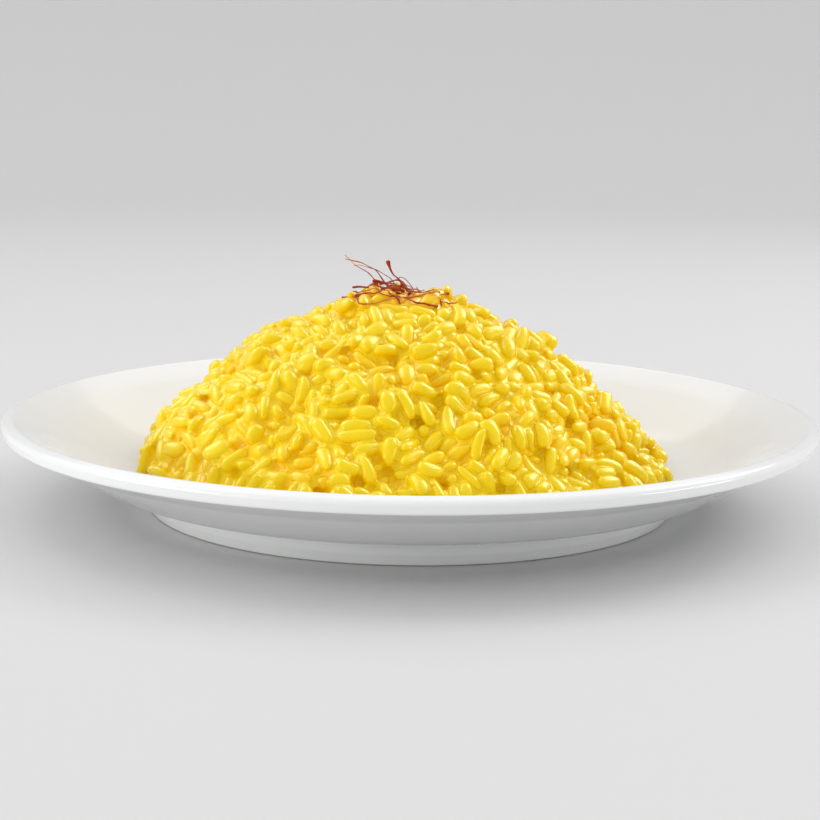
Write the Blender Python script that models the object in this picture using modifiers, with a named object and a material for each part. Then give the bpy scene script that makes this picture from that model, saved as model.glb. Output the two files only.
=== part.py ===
"""Saffron risotto heaped in a deep rimmed plate.

Three pieces, modelled in metres, +Z up, origin on the table under the
plate's axis:

    plate     one turned piece of white porcelain: rolled rim, sloping
              lip, dished wall, flat floor, foot ring with a recess
    risotto   the heap of rice, one solid out to its uneven outline,
              lying on the plate's floor
    saffron   the loose tuft of saffron threads on the summit, one solid
              out to its outline, with the two strands that stand up

The heap is steeper on its -X side and runs out gently towards +X.
"""

import math

import bmesh
import bpy
from mathutils import Vector, noise

MM = 0.001

# ---------------------------------------------------------------- sizes
# plate
PLATE_R = 120.0 * MM          # widest radius, half of the 240 mm plate
RIM_TOP_Z = 27.9 * MM         # ridge of the rim above the table
RIDGE_R = 116.8 * MM
RIM_BAND = 3.4 * MM           # height of the upright outer edge
LIP_R = 107.5 * MM            # where the sloping lip meets the wall
LIP_Z = 24.0 * MM
WALL_FOOT_R = 89.0 * MM       # where the wall eases into the floor
WALL_FOOT_Z = 11.9 * MM
FLOOR_R = 66.0 * MM
FLOOR_Z = 7.0 * MM
FOOT_TOP_R = 81.0 * MM        # crisp corner between underside and foot
FOOT_TOP_Z = 7.2 * MM
FOOT_R = 77.8 * MM
FOOT_INNER_R = 72.4 * MM
RECESS_Z = 3.2 * MM
TURN_STEPS = 72

# heap of rice
HEAP_TOP_Z = 63.2 * MM
HEAP_R = 79.9 * MM
HEAP_LEAN = 1.3 * MM          # the outline lies this much further to -X
TOE_HEIGHT = 3.4 * MM         # one grain's thickness at the edge
FULLNESS_STEEP = 0.82         # exponent of the dome towards -X
FULLNESS_GENTLE = 1.20        # and towards +X
LUMP_SIZE = 11.0 * MM         # clusters of grains
LUMP_DEPTH = 1.5 * MM
HEAP_RINGS = 15
UNDER_RINGS = 7
CONTACT_GAP = 0.35 * MM

# saffron
TUFT_X = -2.0 * MM
TUFT_Y = -5.0 * MM
TUFT_RX = 16.0 * MM
TUFT_RY = 11.0 * MM
TUFT_THICK = 2.2 * MM
TUFT_SEGMENTS = 30
TUFT_RINGS = 4
STRAND_R = 0.75 * MM
STRAND_TIP_Z = 74.2 * MM


# ------------------------------------------------------------ utilities
def clear_scene():
    for obj in list(bpy.data.objects):
        bpy.data.objects.remove(obj, do_unlink=True)


def collection(name):
    col = bpy.data.collections.new(name)
    bpy.context.scene.collection.children.link(col)
    return col


def material(name, color, roughness, metallic=0.0, subsurface=0.0):
    mat = bpy.data.materials.new(name)
    mat.use_nodes = True
    bsdf = mat.node_tree.nodes["Principled BSDF"]
    bsdf.inputs["Base Color"].default_value = (*color, 1.0)
    bsdf.inputs["Roughness"].default_value = roughness
    bsdf.inputs["Metallic"].default_value = metallic
    bsdf.inputs["Subsurface Weight"].default_value = subsurface
    mat.diffuse_color = (*color, 1.0)
    return mat


def mesh_object(name, mesh, col, mat):
    obj = bpy.data.objects.new(name, mesh)
    col.objects.link(obj)
    if mat is not None:
        mesh.materials.clear()
        mesh.materials.append(mat)
    return obj


def rounded(corners, arc_step=math.radians(18.0)):
    """Profile through corners (r, z, fillet radius), each corner rounded."""
    out = []
    last = len(corners) - 1
    for i, (r, z, rad) in enumerate(corners):
        here = Vector((r, z))
        if i in (0, last) or rad <= 0.0:
            out.append(here)
            continue
        to_prev = Vector(corners[i - 1][:2]) - here
        to_next = Vector(corners[i + 1][:2]) - here
        a, b = to_prev.normalized(), to_next.normalized()
        inside = math.acos(max(-1.0, min(1.0, a.dot(b))))
        turn = math.pi - inside
        if turn < math.radians(1.0):
            out.append(here)
            continue
        reach = rad * math.tan(turn / 2.0)
        limit = 0.48 * min(to_prev.length, to_next.length)
        if reach > limit:
            reach = limit
            rad = reach / math.tan(turn / 2.0)
        start = here + a * reach
        centre = here + (a + b).normalized() * math.hypot(rad, reach)
        first = start - centre
        side = 1.0 if a.x * b.y - a.y * b.x < 0.0 else -1.0
        steps = max(1, round(turn / arc_step))
        for k in range(steps + 1):
            t = side * turn * k / steps
            out.append(centre + Vector((
                first.x * math.cos(t) - first.y * math.sin(t),
                first.x * math.sin(t) + first.y * math.cos(t))))
    return out


def turned(name, profile, col, mat, steps):
    """Solid of revolution about Z from a profile at +X, by Screw."""
    mesh = bpy.data.meshes.new(name)
    mesh.from_pydata([(p.x, 0.0, p.y) for p in profile],
                     [(i, i + 1) for i in range(len(profile) - 1)], [])
    obj = mesh_object(name, mesh, col, mat)
    screw = obj.modifiers.new("turn", "SCREW")
    screw.axis = "Z"
    screw.angle = math.tau
    screw.steps = steps
    screw.render_steps = steps
    screw.use_merge_vertices = True
    screw.merge_threshold = 0.00002
    screw.use_smooth_shade = True
    return obj


def baked(obj):
    """Replaces an object's mesh with its evaluated one."""
    graph = bpy.context.evaluated_depsgraph_get()
    mesh = bpy.data.meshes.new_from_object(obj.evaluated_get(graph))
    mesh.name = obj.name
    obj.modifiers.clear()
    obj.data = mesh
    return obj


# ---------------------------------------------------------------- plate
def plate_inside():
    """Upper surface, from the centre out to the lip."""
    return [
        (0.0, FLOOR_Z, 0.0),
        (FLOOR_R, FLOOR_Z, 60 * MM),
        (WALL_FOOT_R, WALL_FOOT_Z, 34 * MM),
        (LIP_R, LIP_Z, 22 * MM),
    ]


def plate_profile():
    wall = 4.2 * MM
    band_r = PLATE_R + 0.25 * MM
    band_low = RIM_TOP_Z - 0.8 * MM - RIM_BAND
    corners = plate_inside() + [
        (RIDGE_R, RIM_TOP_Z + 0.1 * MM, 2.4 * MM),
        (band_r, RIM_TOP_Z - 0.85 * MM, 1.5 * MM),
        (band_r - 0.6 * MM, band_low, 1.1 * MM),
        (LIP_R + 0.27 * wall, LIP_Z - 1.15 * wall, 22 * MM),
        (WALL_FOOT_R + 1.6 * MM, WALL_FOOT_Z - 3.55 * MM, 26 * MM),
        (FOOT_TOP_R, FOOT_TOP_Z, 0.0),
        (FOOT_R + 2.0 * MM, 3.4 * MM, 5.0 * MM),
        (FOOT_R, 0.0, 1.4 * MM),
        (FOOT_INNER_R, 0.0, 1.2 * MM),
        (FOOT_INNER_R - 1.4 * MM, RECESS_Z, 1.6 * MM),
        (0.0, RECESS_Z, 0.0),
    ]
    points = rounded(corners)
    widest = max(p.x for p in points)
    return [Vector((p.x * PLATE_R / widest, p.y)) for p in points]


def plate_surface(r):
    """Height of the plate's upper surface at a radius inside the lip."""
    points = rounded(plate_inside() + [(RIDGE_R, RIM_TOP_Z, 0.0)])
    for a, b in zip(points, points[1:]):
        if a.x <= r <= b.x and b.x > a.x:
            return a.y + (b.y - a.y) * (r - a.x) / (b.x - a.x)
    return points[-1].y


def build_plate(col):
    glaze = material("glazed_porcelain", (0.86, 0.86, 0.85), 0.12)
    obj = turned("plate", plate_profile(), col, glaze, TURN_STEPS)
    baked(obj)
    obj.data.shade_smooth()
    obj.data.set_sharp_from_angle(angle=math.radians(35.0))
    return obj


# ----------------------------------------------------------------- rice
def toe_radius(angle):
    """Radius of the heap's outline, an uneven circle set towards -X."""
    wobble = noise.noise(Vector((1.7 * math.cos(angle) + 3.1,
                                 1.7 * math.sin(angle) + 8.4, 2.2)))
    fine = noise.noise(Vector((6.0 * math.cos(angle) + 1.3,
                               6.0 * math.sin(angle) + 4.9, 5.7)))
    return (HEAP_R - HEAP_LEAN * math.cos(angle)
            + 1.3 * MM * wobble + 1.1 * MM * fine)


def heap_height(x, y):
    """Smooth height of the heap, without its lumps."""
    angle = math.atan2(y, x)
    edge = toe_radius(angle)
    share = min(1.0, math.hypot(x, y) / edge)
    mix = 0.5 + 0.5 * math.cos(angle)
    power = FULLNESS_STEEP + (FULLNESS_GENTLE - FULLNESS_STEEP) * mix
    foot = plate_surface(edge) + TOE_HEIGHT
    return foot + (HEAP_TOP_Z - foot) * (1.0 - share * share) ** power


def lump(x, y, z):
    """Unevenness from clusters of grains, calm under the saffron."""
    p = Vector((x, y, z)) / LUMP_SIZE
    value = noise.noise(p + Vector((9.1, 3.3, 1.7)))
    value += 0.5 * noise.noise(p * 1.9 + Vector((2.4, 7.7, 5.2)))
    distance = math.hypot((x - TUFT_X) / TUFT_RX, (y - TUFT_Y) / TUFT_RY)
    calm = min(1.0, max(0.0, (distance - 1.25) / 0.6))
    return LUMP_DEPTH * value * calm


def build_risotto(col):
    rice = material("saffron_rice", (0.90, 0.63, 0.04), 0.3, subsurface=0.2)
    # a unit dome in rings, closed by an underside in rings; its vertices
    # are then moved to the heap's own radius and height
    dome = []
    for k in range(HEAP_RINGS + 1):
        dome.append(Vector((math.sin(0.5 * math.pi * k / HEAP_RINGS), 1.0)))
    under = []
    for k in range(UNDER_RINGS + 1):
        under.append(Vector((1.0 - k / UNDER_RINGS, 0.0)))
    obj = turned("risotto", dome + under, col, rice, TURN_STEPS)
    baked(obj)
    work = bmesh.new()
    work.from_mesh(obj.data)
    for v in work.verts:
        share = math.hypot(v.co.x, v.co.y)
        angle = math.atan2(v.co.y, v.co.x)
        edge = toe_radius(angle)
        if v.co.z < 0.5:                       # underside, along the plate
            r = share * (edge - 0.9 * MM)
            z = plate_surface(r) + CONTACT_GAP
            v.co = Vector((r * math.cos(angle), r * math.sin(angle), z))
            continue
        r = share * edge
        x, y = r * math.cos(angle), r * math.sin(angle)
        z = heap_height(x, y)
        # lumps push out along the dome's own slope
        out = Vector((x, y, 0.0)) * (share ** 2) / max(edge, 1e-6)
        out.z = 1.0 - 0.8 * share ** 3
        v.co = Vector((x, y, z)) + out.normalized() * lump(x, y, z)
    bmesh.ops.recalc_face_normals(work, faces=work.faces)
    work.to_mesh(obj.data)
    work.free()
    obj.data.shade_smooth()
    return obj


# -------------------------------------------------------------- saffron
def strand(name, points, col, radius):
    """One upright thread: a tapering tube along a smooth arc."""
    curve = bpy.data.curves.new(name, "CURVE")
    curve.dimensions = "3D"
    curve.bevel_depth = radius
    curve.bevel_resolution = 1
    curve.use_fill_caps = True
    spline = curve.splines.new("POLY")
    spline.points.add(len(points) - 1)
    for i, (p, co) in enumerate(zip(spline.points, points)):
        p.co = (*co, 1.0)
        p.radius = 1.0 - 0.45 * i / (len(points) - 1)
    obj = bpy.data.objects.new(name, curve)
    col.objects.link(obj)
    bpy.context.view_layer.update()
    graph = bpy.context.evaluated_depsgraph_get()
    mesh = bpy.data.meshes.new_from_object(obj.evaluated_get(graph))
    work = bmesh.new()
    work.from_mesh(mesh)
    bmesh.ops.remove_doubles(work, verts=work.verts, dist=0.000001)
    bmesh.ops.recalc_face_normals(work, faces=work.faces)
    work.to_mesh(mesh)
    work.free()
    tube = bpy.data.objects.new(name + "_tube", mesh)
    tube.matrix_world = obj.matrix_world
    col.objects.link(tube)
    bpy.data.objects.remove(obj, do_unlink=True)
    tube.hide_render = True
    tube.display_type = "WIRE"
    return tube


def arc(start, middle, end, count):
    """Points on the quadratic that passes through three points."""
    a, m, b = Vector(start), Vector(middle), Vector(end)
    ctrl = 2.0 * m - 0.5 * (a + b)
    out = []
    for k in range(count + 1):
        t = k / count
        out.append(a * (1 - t) ** 2 + ctrl * 2 * t * (1 - t) + b * t * t)
    return out


def build_saffron(col, helpers):
    threads = material("saffron_threads", (0.30, 0.035, 0.012), 0.45)
    lens = [Vector((math.sin(0.5 * math.pi * k / TUFT_RINGS), 1.0))
            for k in range(TUFT_RINGS + 1)]
    lens += [Vector((1.0 - k / TUFT_RINGS, 0.0))
             for k in range(TUFT_RINGS + 1)]
    obj = turned("saffron", lens, col, threads, TUFT_SEGMENTS)
    baked(obj)
    work = bmesh.new()
    work.from_mesh(obj.data)
    for v in work.verts:
        share = math.hypot(v.co.x, v.co.y)
        angle = math.atan2(v.co.y, v.co.x)
        ragged = 1.0 + 0.22 * noise.noise(Vector((
            3.2 * math.cos(angle), 3.2 * math.sin(angle), 0.6)))
        x = TUFT_X + TUFT_RX * ragged * share * math.cos(angle)
        y = TUFT_Y + TUFT_RY * ragged * share * math.sin(angle)
        z = heap_height(x, y) + 0.45 * MM
        if v.co.z > 0.5:
            bump = 1.0 + 0.35 * noise.noise(Vector((x, y, 0.0)) / (5 * MM))
            z += TUFT_THICK * bump * (0.35 + 0.65 * (1.0 - share ** 3))
        v.co = Vector((x, y, z))
    bmesh.ops.recalc_face_normals(work, faces=work.faces)
    work.to_mesh(obj.data)
    work.free()

    def on_heap(x, y, lift):
        return (x * MM, y * MM, heap_height(x * MM, y * MM) + lift * MM)

    tall = arc(on_heap(-5.0, -3.0, 1.3), (-13.2 * MM, -2.0 * MM, 69.3 * MM),
               (-20.0 * MM, -1.0 * MM, STRAND_TIP_Z - 0.45 * STRAND_R), 7)
    short = arc(on_heap(-2.5, -6.5, 1.5), (-5.0 * MM, -6.2 * MM, 68.0 * MM),
                (-8.2 * MM, -6.0 * MM, 71.8 * MM), 5)
    side = arc(on_heap(7.0, -5.0, 1.2), on_heap(12.0, -5.5, 2.6),
               on_heap(17.6, -6.0, 1.7), 5)
    for name, points in (("tall", tall), ("short", short), ("side", side)):
        tube = strand("strand_" + name, points, helpers, STRAND_R)
        join = obj.modifiers.new("join_" + name, "BOOLEAN")
        join.operation = "UNION"
        join.solver = "EXACT"
        join.object = tube
    return obj


def main():
    clear_scene()
    col = collection("saffron_risotto")
    helpers = collection("cutters")
    build_plate(col)
    build_risotto(col)
    build_saffron(col, helpers)


main()
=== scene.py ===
"""Looks of the saffron risotto in its plate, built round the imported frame."""
import math
import time

import bmesh
import bpy
import numpy as np
from mathutils import Matrix, Vector, noise
from mathutils.bvhtree import BVHTree


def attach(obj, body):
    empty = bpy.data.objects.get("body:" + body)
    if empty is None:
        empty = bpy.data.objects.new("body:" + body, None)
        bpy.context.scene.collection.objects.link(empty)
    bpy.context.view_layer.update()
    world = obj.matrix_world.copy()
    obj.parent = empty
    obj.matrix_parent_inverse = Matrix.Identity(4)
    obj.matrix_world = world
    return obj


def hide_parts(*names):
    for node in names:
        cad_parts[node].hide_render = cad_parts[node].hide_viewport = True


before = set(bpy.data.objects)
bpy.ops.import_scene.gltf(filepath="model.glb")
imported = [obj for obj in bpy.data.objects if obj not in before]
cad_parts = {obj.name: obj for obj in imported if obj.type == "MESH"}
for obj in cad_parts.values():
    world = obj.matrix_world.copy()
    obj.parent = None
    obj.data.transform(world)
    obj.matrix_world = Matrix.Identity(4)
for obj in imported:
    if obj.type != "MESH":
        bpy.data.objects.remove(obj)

T0 = time.time()
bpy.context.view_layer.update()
MM = 0.001
RNG = np.random.default_rng(41)


def stamp(what):
    print("[scene] %6.1f s  %s" % (time.time() - T0, what), flush=True)


# ------------------------------------------------------------------ plate
# the same turned section as the CAD plate, in millimetres
def rounded(corners, arc_step):
    out = []
    last = len(corners) - 1
    for i, (r, z, rad) in enumerate(corners):
        here = Vector((r, z))
        if i in (0, last) or rad <= 0.0:
            out.append(here)
            continue
        to_prev = Vector(corners[i - 1][:2]) - here
        to_next = Vector(corners[i + 1][:2]) - here
        a, b = to_prev.normalized(), to_next.normalized()
        turn = math.pi - math.acos(max(-1.0, min(1.0, a.dot(b))))
        if turn < math.radians(1.0):
            out.append(here)
            continue
        reach = rad * math.tan(turn / 2.0)
        limit = 0.48 * min(to_prev.length, to_next.length)
        if reach > limit:
            reach = limit
            rad = reach / math.tan(turn / 2.0)
        start = here + a * reach
        centre = here + (a + b).normalized() * math.hypot(rad, reach)
        first = start - centre
        side = 1.0 if a.x * b.y - a.y * b.x < 0.0 else -1.0
        steps = max(2, round(turn / arc_step))
        for k in range(steps + 1):
            t = side * turn * k / steps
            out.append(centre + Vector((
                first.x * math.cos(t) - first.y * math.sin(t),
                first.x * math.sin(t) + first.y * math.cos(t))))
    return out


INSIDE = [(0.0, 7.0, 0.0), (66.0, 7.0, 60.0), (89.0, 11.9, 34.0), (107.5, 24.0, 22.0)]
OUTSIDE = [
    (116.8, 28.0, 2.4), (120.25, 27.05, 1.5), (119.65, 23.7, 1.1),
    (108.634, 19.17, 22.0), (90.6, 8.35, 26.0), (81.0, 7.2, 0.35),
    (79.8, 3.4, 5.0), (77.8, 0.0, 1.4), (72.4, 0.0, 1.2),
    (71.0, 3.2, 1.6), (0.0, 3.2, 0.0)]
_floor = rounded(INSIDE + [(116.8, 27.9, 0.0)], math.radians(3))
FLOOR_RS = np.array([p.x for p in _floor])
FLOOR_ZS = np.array([p.y for p in _floor])


def plate_z(r):
    """Height of the plate's upper surface, mm."""
    return np.interp(r, FLOOR_RS, FLOOR_ZS)


def mesh_object(name, verts, faces, mats=(), smooth=True):
    """verts in mm (n,3); faces a list or (m,k) array."""
    me = bpy.data.meshes.new(name)
    v = np.asarray(verts, float) * MM
    if isinstance(faces, np.ndarray):
        n, k = faces.shape
        me.vertices.add(len(v))
        me.vertices.foreach_set("co", v.astype(np.float32).ravel())
        me.loops.add(n * k)
        me.loops.foreach_set("vertex_index", faces.astype(np.int32).ravel())
        me.polygons.add(n)
        me.polygons.foreach_set("loop_start", np.arange(0, n * k, k, dtype=np.int32))
        me.polygons.foreach_set("loop_total", np.full(n, k, dtype=np.int32))
        me.update(calc_edges=True)
    else:
        me.from_pydata([tuple(p) for p in v], [], faces)
        me.update()
    me.validate()
    if smooth:
        me.shade_smooth()
    for m in mats:
        me.materials.append(m)
    ob = bpy.data.objects.new(name, me)
    bpy.context.scene.collection.objects.link(ob)
    return ob


# ------------------------------------------------------------ heap's form
def _toe_table():
    out = []
    for k in range(720):
        a = math.tau * k / 720
        wob = noise.noise(Vector((1.7 * math.cos(a) + 3.1, 1.7 * math.sin(a) + 8.4, 2.2)))
        fine = noise.noise(Vector((6.0 * math.cos(a) + 1.3, 6.0 * math.sin(a) + 4.9, 5.7)))
        out.append(78.9 - 1.6 * math.cos(a) + 1.3 * wob + 1.1 * fine)
    return np.array(out)


TOE = _toe_table()
HEAP_TOP = 63.2
TOE_HEIGHT = 3.4
BUMP = 1.0
_w = np.random.default_rng(7)


def _waves(n, short, long):
    d = _w.normal(size=(n, 3))
    d /= np.linalg.norm(d, axis=1)[:, None]
    return d * (math.tau / _w.uniform(short, long, size=(n, 1))), _w.uniform(0, math.tau, n)


_wave, _phase = _waves(26, 15.0, 36.0)
_wave2, _phase2 = _waves(22, 8.5, 14.0)
# shoulders and hollows of the heap seen from the front: x, y, rise, reach in mm
SHOULDERS = [(-79.0, -2.0, 2.4, 8.0), (-57.5, -4.0, -2.4, 7.0), (-44.0, -4.0, 1.9, 9.0), (-36.0, -4.0, -0.8, 7.0),
             (19.0, -4.0, -1.4, 7.0), (29.0, -4.0, 2.3, 6.0), (43.0, -4.0, -0.4, 7.0), (59.0, -4.0, 4.2, 10.0),
             (76.0, -8.0, -0.8, 10.0), (-4.0, -46.0, 1.3, 10.0), (-2.0, -4.0, 0.8, 12.0), (8.0, -58.0, -1.5, 7.0),
             (-30.0, -60.0, 1.0, 9.0)]


def lumps(p):
    """Unevenness of the heap's outline, mm."""
    out = 1.45 * np.cos(p @ _wave.T + _phase).sum(-1) * math.sqrt(2.0 / 26)
    out += 0.80 * np.cos(p @ _wave2.T + _phase2).sum(-1) * math.sqrt(2.0 / 22)
    for x, y, rise, reach in SHOULDERS:
        out += rise * np.exp(-((p[..., 0] - x) ** 2 + (p[..., 1] - y) ** 2) / reach ** 2)
    return out


def coating(p):
    """0 where the grains stand free of cream, 1 where it covers them: more on the left."""
    n = 0.0
    for k, (c, f) in enumerate(((0.55, 19.0), (0.35, 8.0))):
        w = _coat_dirs[k] * (math.tau / f)
        n = n + c * np.cos(p @ w.T + _coat_phase[k]).sum(-1) * math.sqrt(2.0 / 12)
    return np.clip(0.26 - 0.0042 * p[..., 0] - 0.0020 * (p[..., 2] - 30.0) + 0.26 * n, 0.0, 0.85)


_coat_dirs = [_w.normal(size=(12, 3)) for _ in range(2)]
_coat_dirs = [d / np.linalg.norm(d, axis=1)[:, None] * _w.uniform(0.7, 1.4, (12, 1)) for d in _coat_dirs]
_coat_phase = [_w.uniform(0, math.tau, 12) for _ in range(2)]


def heap_field(p, want_normal=False):
    """Signed distance to the heap's outline (mm, + outside), and its outward normal."""
    x, y, z = p[..., 0], p[..., 1], p[..., 2]
    r = np.hypot(x, y) + 1e-9
    ang = np.arctan2(y, x) % math.tau
    idx = ang / math.tau * 720
    i0 = idx.astype(int) % 720
    fr = idx - np.floor(idx)
    edge = TOE[i0] * (1 - fr) + TOE[(i0 + 1) % 720] * fr
    q = 0.82 + (1.20 - 0.82) * (0.5 + 0.5 * x / r)
    foot = plate_z(edge) + TOE_HEIGHT
    span = HEAP_TOP - foot
    zeta = (z - foot) / span
    zc = np.clip(zeta, 0.012, None)
    share = r / edge
    g = np.where(zeta > 0.012, zc ** (1 / q), zc ** (1 / q) * zeta / 0.012 * 0 + 0.0) + share ** 2 - 1
    gz = np.where(zeta > 0.012, (1 / q) * zc ** (1 / q - 1) / span, 0.0)
    gr = 2 * share / edge
    norm = np.sqrt(gz ** 2 + gr ** 2) + 1e-9
    d = g / norm
    if not want_normal:
        return d
    n = np.stack([gr * x / r, gr * y / r, gz], -1) / norm[..., None]
    return d, n


# -------------------------------------------------------- settling grains
def closest(p1, q1, p2, q2):
    """Closest points of segment pairs: parameters s, t and the difference."""
    d1, d2, r = q1 - p1, q2 - p2, p1 - p2
    a = (d1 * d1).sum(-1); e = (d2 * d2).sum(-1); f = (d2 * r).sum(-1)
    c = (d1 * r).sum(-1); b = (d1 * d2).sum(-1)
    den = a * e - b * b
    s = np.where(den > 1e-9, np.clip((b * f - c * e) / np.maximum(den, 1e-9), 0, 1), 0.5)
    t = (b * s + f) / e
    tc = np.clip(t, 0, 1)
    s = np.where(t != tc, np.clip((b * tc - c) / a, 0, 1), s)
    diff = (p1 + d1 * s[:, None]) - (p2 + d2 * tc[:, None])
    return s, tc, diff


def grain_sizes(n, rng):
    """Kind, radius and centre-line length of cooked risotto rice: long, plump, short, broken."""
    kind = rng.choice(4, size=n, p=[0.50, 0.30, 0.14, 0.06])
    mean_len = np.array([8.5, 7.6, 6.2, 4.6])[kind]
    length = np.clip(rng.normal(mean_len, 0.75), 4.0, 10.6)
    rad = rng.normal(np.array([1.88, 2.14, 1.94, 1.76])[kind], 0.16)
    return kind, rad, np.maximum(length - 2 * rad, 0.8)


def strewn(n, rng, lo, hi, lying):
    """Places between two depths of the outline, and directions."""
    pts = []
    while sum(len(q) for q in pts) < n:
        c = rng.uniform([-86, -86, 8], [86, 86, 70], size=(40000, 3))
        d = heap_field(c)
        ok = (d < hi) & (d > lo) & (c[:, 2] > plate_z(np.hypot(c[:, 0], c[:, 1])) + 1.5)
        pts.append(c[ok])
    pos = np.concatenate(pts)[:n]
    _, nrm = heap_field(pos, True)
    dirs = rng.normal(size=(n, 3))
    dirs -= lying * (dirs * nrm).sum(-1)[:, None] * nrm
    dirs /= np.linalg.norm(dirs, axis=1)[:, None]
    return pos, dirs


def shake(a, b, rad, core, allow, iterations, shell, rng, grow, heat_to, pull, squeeze=0.93):
    """Grains as capsules: they push each other off, are drawn gently into the heap, and stay
    inside its outline, each as far out as it is allowed."""
    n = len(a)
    for it in range(iterations):
        rr = rad * (min(1.0, grow + (1 - grow) * it / (0.45 * iterations)) if grow < 1 else 1.0)
        if it % 6 == 0:
            m = (a + b) / 2
            order = np.argsort(m[:, 0], kind="stable")
            ms = m[order]
            hi = np.searchsorted(ms[:, 0], ms[:, 0] + 11.6, side="right")
            cnt = hi - np.arange(n) - 1
            ii = np.repeat(np.arange(n), cnt)
            jj = ii + 1 + np.arange(len(ii)) - np.repeat(np.cumsum(cnt) - cnt, cnt)
            dd = ms[ii] - ms[jj]
            lim = (core[order][ii] + core[order][jj]) / 2 + rad[order][ii] + rad[order][jj] + 0.8
            keep = (dd * dd).sum(-1) < lim ** 2
            pi, pj = order[ii[keep]], order[jj[keep]]
        s, t, diff = closest(a[pi], b[pi], a[pj], b[pj])
        dist = np.sqrt((diff * diff).sum(-1)) + 1e-6
        depth = squeeze * (rr[pi] + rr[pj]) - dist
        on = depth > 0
        i, j, s_, t_ = pi[on], pj[on], s[on], t[on]
        push = diff[on] / dist[on][:, None] * (0.5 * depth[on])[:, None] * 0.55
        mv_a = np.zeros((n, 3)); mv_b = np.zeros((n, 3))
        for k in range(3):
            mv_a[:, k] += np.bincount(i, push[:, k] * (1 - s_) * 2, n) - np.bincount(j, push[:, k] * (1 - t_) * 2, n)
            mv_b[:, k] += np.bincount(i, push[:, k] * s_ * 2, n) - np.bincount(j, push[:, k] * t_ * 2, n)
        for mv in (mv_a, mv_b):
            ln = np.sqrt((mv * mv).sum(-1)) + 1e-9
            mv *= np.minimum(1.0, 0.9 / ln)[:, None]
        a += mv_a; b += mv_b
        heat = max(0.0, 1.0 - it / (heat_to * iterations)) if heat_to else 0.0
        for end in (a, b):
            d, nn = heap_field(end, True)
            d = d - BUMP * lumps(end)
            end -= nn * pull
            over = d + rr + OUTER - allow
            end -= nn * np.clip(over, 0, 1.2)[:, None] * 0.35
            under = -shell - d
            end += nn * np.clip(under, 0, 2.0)[:, None] * 0.5
            fl = plate_z(np.hypot(end[:, 0], end[:, 1])) + rr * 0.97 + 0.1 - end[:, 2]
            end[:, 2] += np.clip(fl, 0, 2.0)
            if heat > 0:
                end += rng.normal(size=(n, 3)) * 0.12 * heat
        # keep each grain's length
        ax = b - a
        ln = np.sqrt((ax * ax).sum(-1)) + 1e-9
        fix = ax * ((ln - core) / ln / 2)[:, None]
        a += fix; b -= fix
    return a, b


OUTER = 2.6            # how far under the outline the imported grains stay, mm


def settle(n_packed, n_loose, quick, shell, seed):
    """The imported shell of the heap, then loose grains that come to rest on it.
    Returns end points a, b of each centre line (mm), radius, its length, and kind."""
    rng = np.random.default_rng(seed)
    kind, rad, core = grain_sizes(n_packed, rng)
    pos, dirs = strewn(n_packed, rng, -shell, -2.0, 0.12)
    a = pos - dirs * core[:, None] / 2
    b = pos + dirs * core[:, None] / 2
    allow = rng.choice([0.0, 0.7, 1.5], size=n_packed, p=[0.45, 0.33, 0.22]) + rng.uniform(-0.3, 0.3, n_packed)
    a, b = shake(a, b, rad, core, allow, 150 if quick else 340, shell, rng, 0.62, 0.7, 0.035)
    kind2, rad2, core2 = grain_sizes(n_loose, rng)
    pos, dirs = strewn(n_loose, rng, 0.4, 1.9, 0.50)
    a = np.concatenate([a, pos - dirs * core2[:, None] / 2])
    b = np.concatenate([b, pos + dirs * core2[:, None] / 2])
    rad = np.concatenate([rad, rad2]); core = np.concatenate([core, core2]); kind = np.concatenate([kind, kind2])
    allow = np.concatenate([allow, OUTER + rng.uniform(0.9, 2.3, n_loose)])
    a, b = shake(a, b, rad, core, allow, 80 if quick else 150, shell, rng, 0.80, 0.0, 0.045)
    return a, b, rad, core, kind


def heap_depth(p):
    """How far a point lies under the heap's bumpy outline, mm."""
    return -(heap_field(p) - BUMP * lumps(p))


GRAIN_RINGS, GRAIN_SEGS = 10, 11


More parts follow.
